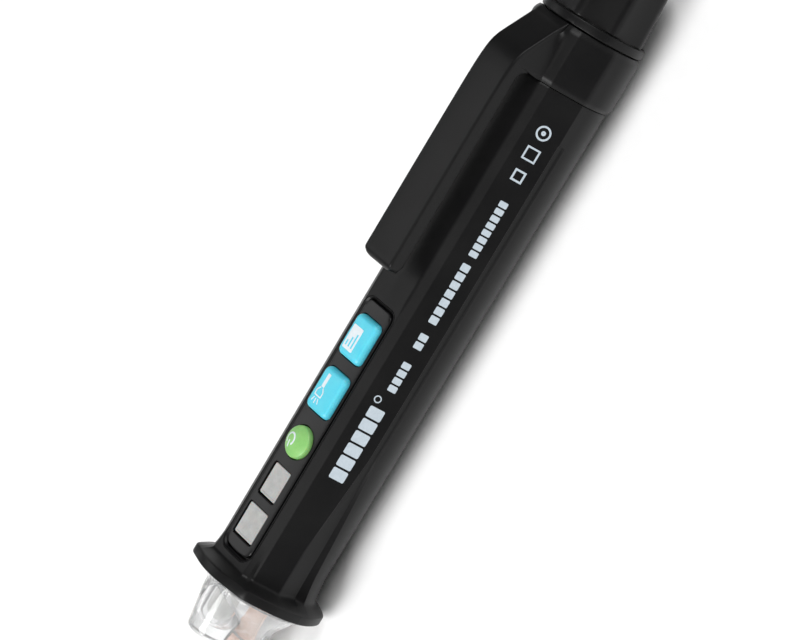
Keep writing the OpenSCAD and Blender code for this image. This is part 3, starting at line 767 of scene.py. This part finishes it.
def make_clip():
    rings = []
    xs = [54.42, 54.46, 54.65, 54.85, 55.1, 55.35, 55.7, 56.1, 56.5, 57.0, 57.5, 58.0, 58.5, 59.0, 59.6, 60.2, 60.8, 61.4, 62.0, 62.6, 63.2, 63.7, 64.1, 64.4, 64.7, 65.0, 65.3, 65.5, 65.62]
    def front(x, z):
        off = 0.7 * min(max((z - 10.3) / 3.6, 0), 1) ** 1.5
        return x + off * max(0.0, 1 - (x - 54.42) / 1.8)
    for x in xs:
        h = collar_half(x)
        rings.append([(front(x, z), y, z) for y, z in mirror_ring(h)])
    b = collar_half(60)
    rings.append(ring_at(65.62, circle_like(b, 9.06)))
    rings.append(ring_at(54.42, circle_like(b, 9.06)))
    o = build("collar_and_clip", *loft(rings, torus=True))
    # arm: rounded bar lofted along the pen
    arm = []
    xa = [11.6, 11.64, 11.75, 11.95, 12.2, 12.5, 12.8, 13.2, 13.8, 14.6, 16, 18, 22, 27, 32, 37, 42, 46, 49, 51, 52.0, 52.5] + list(np.linspace(52.7, 54.46, 12)) + list(np.arange(54.6, 64.3, 0.4)) + [64.5, 64.7, 64.95, 65.2, 65.4, 65.52, 65.58]
    for x in xa:
        top = shoulder_z(x) + 0.05
        if x > 64.4:
            top = min(top, 10.86 - 0.72 * (x - 64.4))
        if x < 13.2:
            top = float(np.interp(x, [11.6, 12.0, 12.5, 12.8, 13.2], [16.0, 16.4, 16.78, 16.9, 16.95]))
        bot = 13.9
        if x < 13.2:
            bot = 13.9 + (13.2 - x) * 0.5
        if 52.5 < x <= 54.46:
            bot = 13.9 - (1.96 - math.sqrt(max(0.0, 1.96 ** 2 - (x - 52.5) ** 2)))
        if x > 54.46:
            bot = 12.0
        bot = max(min(bot, top - 2.4), 9.45)
        q = min(1.0, (top - bot) / 2.4)
        hw = 4.35
        if x < 13.0:
            e = (13.0 - x) / 1.4
            hw = 4.35 - 1.5 * (1 - math.sqrt(max(0, 1 - e * e)))
        sh = {11.6: 0.80, 11.64: 0.87, 11.75: 0.94}.get(x, 1.0)
        c = (top + bot) / 2
        dish = 0.14 * min(1, max(0, (x - 13) / 3)) * min(1, max(0.35, (58 - x) / 8))
        half = [np.array([0, top - dish]), np.array([hw * 0.35, top - dish * 0.9]), np.array([hw * 0.62, top - dish * 0.55]), np.array([hw - 0.75, top - dish * 0.12])]
        half += [np.array([hw - 0.42, top - 0.005]), np.array([hw - 0.22, top - 0.05 * q]), np.array([hw - 0.08, top - 0.16 * q]), np.array([hw, top - 0.36 * q])]
        half += [np.array([hw + 0.0, top - 0.9 * q]), np.array([hw, bot + 0.7 * q]), np.array([hw - 0.02, bot + 0.3 * q]), np.array([hw - 0.12, bot + 0.1 * q]), np.array([hw - 0.35, bot]),
                 np.array([hw * 0.6, bot]), np.array([0, bot])]
        half = [np.array([p[0] * (1 if sh == 1 else sh ** 0.3), c + (p[1] - c) * sh]) for p in half]
        half[0][0] = half[-1][0] = 0
        arm.append([(x, y, z) for y, z in mirror_ring(half)])
    a = build("arm", *loft(arm))
    boolean(o, [a], "UNION")
    tidy(o)
    clean(o, 34)
    o.data.materials.clear()
    o.data.materials.append(MATS["black_plastic"])
    o.modifiers.new("weighted", "WEIGHTED_NORMAL").keep_sharp = True
    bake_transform(o)
    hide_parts("clip_collar", "clip_arm")
    return o


# ---------------------------------------------------------------- end cap
def knob_outline(R, n_side=9, n_arc=5, round_=1.0, dish=0.16):
    """Octagon with vertices at 22.5 + 45k degrees from the panel side, rounded corners and faintly hollow facets."""
    pts = []
    ap = R * math.cos(math.radians(22.5))
    for k in range(8):
        a0 = 22.5 + 45 * k
        V = np.array([math.sin(math.radians(a0)), math.cos(math.radians(a0))]) * R
        W = np.array([math.sin(math.radians(a0 + 45)), math.cos(math.radians(a0 + 45))]) * R
        U = np.array([math.sin(math.radians(a0 - 45)), math.cos(math.radians(a0 - 45))]) * R
        dv = (W - V) / np.linalg.norm(W - V)
        du = (U - V) / np.linalg.norm(U - V)
        p, q = V + du * round_, V + dv * round_
        pts += [(1 - s) ** 2 * p + 2 * s * (1 - s) * V + s * s * q for s in np.linspace(0, 1, n_arc + 2)]
        q2 = W - dv * round_
        nrm = -(V + W) / np.linalg.norm(V + W)
        for s in np.linspace(0, 1, n_side + 2)[1:-1]:
            pts.append(q + (q2 - q) * s + nrm * dish * math.sin(math.pi * s) ** 0.8)
    return pts


def make_cap():
    base = knob_outline(10.2)
    def circ(r):
        return [p / np.linalg.norm(p) * r for p in base]
    def oct_(R, d=0.16):
        return knob_outline(R, dish=d)
    def mixr(a, b, s):
        return [p * (1 - s) + q * s for p, q in zip(a, b)]
    seq = [(58.4, circ(6.1)), (56.72, circ(6.72)), (56.72, circ(7.6)), (56.95, circ(7.88)), (60.88, circ(7.88)), (60.92, circ(6.97)), (62.08, circ(6.97)), (62.12, circ(7.88)),
           (65.76, circ(7.88)), (65.80, circ(9.7)), (65.84, circ(10.0)), (65.95, circ(10.2)), (66.12, circ(10.3)), (67.3, circ(10.3)), (67.5, circ(10.22)), (67.62, circ(10.0)),
           (67.66, circ(9.72))]
    seq += [(67.68, mixr(circ(9.6), oct_(10.05), 0.6)), (67.8, oct_(10.1, 0.05)), (68.1, oct_(10.17, 0.12))]
    for x in np.linspace(69, 78.6, 9):
        seq.append((x, oct_(10.17 - 0.057 * (x - 68.1))))
    seq += [(79.0, oct_(9.5)), (79.35, oct_(9.33, 0.14)), (79.65, oct_(9.05, 0.1)), (79.85, oct_(8.7, 0.06)), (79.95, oct_(8.3, 0.03)), (80.0, oct_(7.8, 0.0)),
            (80.0, oct_(6.5, 0)), (79.9, oct_(6.3, 0)), (79.75, oct_(6.2, 0)), (79.7, oct_(5.9, 0)), (79.7, oct_(2.5, 0))]
    rings = [[(x, y, z) for y, z in h] for x, h in seq]
    o = build("end_cap_body", *loft(rings))
    return finish(o, "cap", "black_plastic", 34, ["end_cap"])


# ---------------------------------------------------------------- clear nose
def bar_section(hw, hh, zc, r, n):
    """Points of a rounded bar section at the given angles, as radii from (0, zc)."""
    pts = []
    for a in n:
        s, c = math.sin(a), math.cos(a)
        # superellipse like rounded rectangle
        e = 8.0
        rad = (abs(s / hw) ** e + abs(c / hh) ** e) ** (-1 / e)
        pts.append(np.array([rad * s, zc + rad * c]))
    return pts


def make_nose():
    n = 96
    ang = np.linspace(0, 2 * math.pi, n + 1)[:-1]
    def circ(r, z=0.0):
        return [np.array([r * math.sin(a), z + r * math.cos(a)]) for a in ang]
    blade = bar_section(4.9, 2.6, -3.2, 1.6, ang)
    tip = bar_section(4.1, 2.1, -3.2, 1.6, ang)
    end = bar_section(3.1, 1.2, -3.2, 1.1, ang)
    def mix(a, b, s):
        return [p * (1 - s) + q * s for p, q in zip(a, b)]
    root = circ(10.3)
    outer = [(-50.85, circ(8.9)), (-53.78, circ(8.9)), (-53.82, circ(10.2)), (-53.95, circ(10.35)), (-54.1, circ(10.3))]
    def body(d, ka=10.3, blade_=blade, lo=4.9):
        r = max(ka - 0.545 * d, lo)
        q = min(max((d - 2.2) / 8.2, 0), 1)
        return mix(circ(r), blade_, q * q * (3 - 2 * q))
    for d in np.linspace(0.6, 10.0, 17):
        outer.append((-53.9 - d, body(d)))
    outer += [(-64.3, blade), (-65.2, mix(blade, tip, 0.05))]
    for s in np.linspace(0.15, 0.95, 6):
        outer.append((-65.2 - 13.4 * s, mix(blade, tip, s)))
    outer += [(-78.7, tip), (-79.2, mix(tip, end, 0.35)), (-79.6, mix(tip, end, 0.65)), (-79.85, mix(tip, end, 0.9)), (-80.0, [np.array([p[0] * 0.86, -3.2 + (p[1] + 3.2) * 0.7]) for p in end])]
    rings = [[(x, y, z) for y, z in h] for x, h in outer]
    o = build("nose_lens", *loft(rings))
    # lens tube over the torch LED
    tube = []
    for x, r in [(-52.5, 5.3), (-54.2, 5.28), (-57, 5.08), (-60, 4.6), (-63, 4.15), (-64.3, 3.98), (-64.75, 3.85), (-65.02, 3.62), (-65.17, 3.3), (-65.2, 2.9), (-65.2, 1.2)]:
        tube.append([(x, y, z) for y, z in circ(r, 5.3)])
    t = build("tube", *loft(tube))
    # clip the tube's root to the nose's root disc
    keep = build("keep", *loft([[(x, y, z) for y, z in circ(r)] for x, r in [(-52.0, 8.9), (-53.8, 8.9), (-53.81, 10.3), (-56, 11.5), (-66, 12.5)]]))
    boolean(t, [keep], "INTERSECT")
    boolean(o, [t], "UNION")
    cuts = []
    inner_a, inner_b = circ(8.9), bar_section(3.9, 1.5, -3.2, 1.0, ang)
    cav = [(-50.0, circ(7.5)), (-54.4, circ(7.6)), (-54.9, circ(8.6))]
    for d in np.linspace(1.4, 9.4, 13):
        cav.append((-53.9 - d, body(d, 9.2, inner_b, 3.8)))
    cuts.append(build("c", *loft([[(x, y, z) for y, z in h] for x, h in cav])))
    bore = [(x, circ(r, 5.3)) for x, r in [(-49.5, 2.85), (-60.6, 2.82), (-61.6, 2.6), (-62.3, 2.0), (-62.65, 1.2), (-62.75, 0.4)]]
    tubewall = [(x, circ(r, 5.3)) for x, r in [(-54.0, 4.3), (-63.4, 3.2)]]
    cuts.append(build("c", *loft([[(x, y, z) for y, z in h] for x, h in bore])))
    slot_ = [[(x, y, z) for y, z in ((-2.65, -3.92), (2.65, -3.92), (2.65, -3.08), (-2.65, -3.08))] for x in (-76, -50)]
    cuts.append(build("c", *loft(slot_)))
    boolean(o, cuts)
    return finish(o, "housing", "clear", 34, ["clear_nose"])


make_barrel()
make_strip()
make_window("window_front_lens", -45.35, -39.0, 2.86, "window_front")
make_window("window_rear_lens", -36.62, -30.3, 2.46, "window_rear")
make_long_button("torch_button_cap", TORCH, "torch_press", "torch_button")
make_long_button("sensitivity_button_cap", SENS, "sensitivity_press", "sensitivity_button")
make_power()
make_marks()
make_clip()
make_cap()
make_nose()

# ---------------------------------------------------------------- carried over CAD nodes
SLOT_OF = {s["node"]: s["material_slot"] for s in RECORD["subparts"]}
BEVEL = {"battery_front": 0.35, "battery_rear": 0.35, "sensor_plate": 0.08, "circuit_board": 0.08, "buzzer": 0.2,
         "controller_chip": 0.05, "inner_frame": 0.12, "power_switch": 0.12, "torch_switch": 0.12, "sensitivity_switch": 0.12}
for n, o in NODES.items():
    o.data.materials.clear()
    o.data.materials.append(MATS[SLOT_OF[n]])
    if n in BEVEL:
        b = o.modifiers.new("bevel", "BEVEL")
        b.width = BEVEL[n] * MM
        b.segments = 3
        b.limit_method = "ANGLE"
        b.angle_limit = math.radians(40)
        b.harden_normals = False


# ---------------------------------------------------------------- stage, lights, camera
def make_stage():
    v = []
    f = []
    n = 40
    for i in range(n + 1):
        for j in range(n + 1):
            v.append(((i / n - 0.5) * 6, (j / n - 0.5) * 6, 0.0))
    for i in range(n):
        for j in range(n):
            a = i * (n + 1) + j
            f.append((a, a + n + 1, a + n + 2, a + 1))
    me = bpy.data.meshes.new("floor")
    me.from_pydata(v, [], f)
    o = bpy.data.objects.new("floor", me)
    bpy.context.scene.collection.objects.link(o)
    o.location.z = -0.0001
    me.materials.append(material("floor_pale", [(0.88, 0.88, 0.88), (0.92, 0.92, 0.92)], (0.85, 0.95), grain=300, bump=0.0, mottle=3))


def area(name, loc, target, size, energy, size_y=None, color=(1, 1, 1)):
    l = bpy.data.lights.new(name, "AREA")
    l.energy = energy
    l.color = color
    l.size = size
    if size_y:
        l.shape = "RECTANGLE"
        l.size_y = size_y
    o = bpy.data.objects.new(name, l)
    bpy.context.scene.collection.objects.link(o)
    o.location = loc
    o.rotation_euler = (Vector(target) - Vector(loc)).to_track_quat("-Z", "Y").to_euler()
    return o


def make_camera():
    rho = math.radians(30.96); th = math.radians(9.1); phi = math.radians(46.0)
    S = 0.182e-3; D = 3835.0
    au = (394 - 400) * math.cos(rho) + (360 - 320) * math.sin(rho) - 0.3
    cu = Vector((0, -math.cos(phi), -math.sin(phi)))
    s = Vector((math.cos(th), math.sin(phi) * math.sin(th), -math.cos(phi) * math.sin(th)))
    w = Vector((math.sin(th), -math.sin(phi) * math.cos(th), math.cos(phi) * math.cos(th)))
    P0 = Vector((0.003, 0, AX * MM))
    loc = P0 - cu * (au * S) + w * (D * S)
    r = cu * math.cos(rho) + s * math.sin(rho)
    u = -cu * math.sin(rho) + s * math.cos(rho)
    c = bpy.data.cameras.new("camera")
    o = bpy.data.objects.new("camera", c)
    bpy.context.scene.collection.objects.link(o)
    m = Matrix((r, u, w)).transposed().to_4x4()
    m.translation = loc
    o.matrix_world = m
    c.sensor_width = 36
    c.lens = D / 800 * 36
    c.clip_start = 0.01
    c.clip_end = 10
    bpy.context.scene.camera = o


make_stage()
make_camera()
world = bpy.data.worlds.new("world")
bpy.context.scene.world = world
world.use_nodes = True
world.node_tree.nodes["Background"].inputs[0].default_value = (1, 1, 1, 1)
world.node_tree.nodes["Background"].inputs[1].default_value = 0.09
bpy.context.scene.view_settings.view_transform = "Standard"
area("rear_box", (1.0, -0.42, 0.95), (0, 0, 0), 0.7, 13, 0.9)
area("front_box", (-1.0, -0.42, 0.95), (0, 0, 0), 0.7, 22, 0.9)
area("top_strip", (-0.17, -0.62, 0.82), (0, 0, 0), 0.5, 0.6, 0.2, (1, 0.97, 0.94))
area("left_soft", (-0.2, 0.78, 0.74), (0, 0, 0), 0.7, 1.9, 0.5)
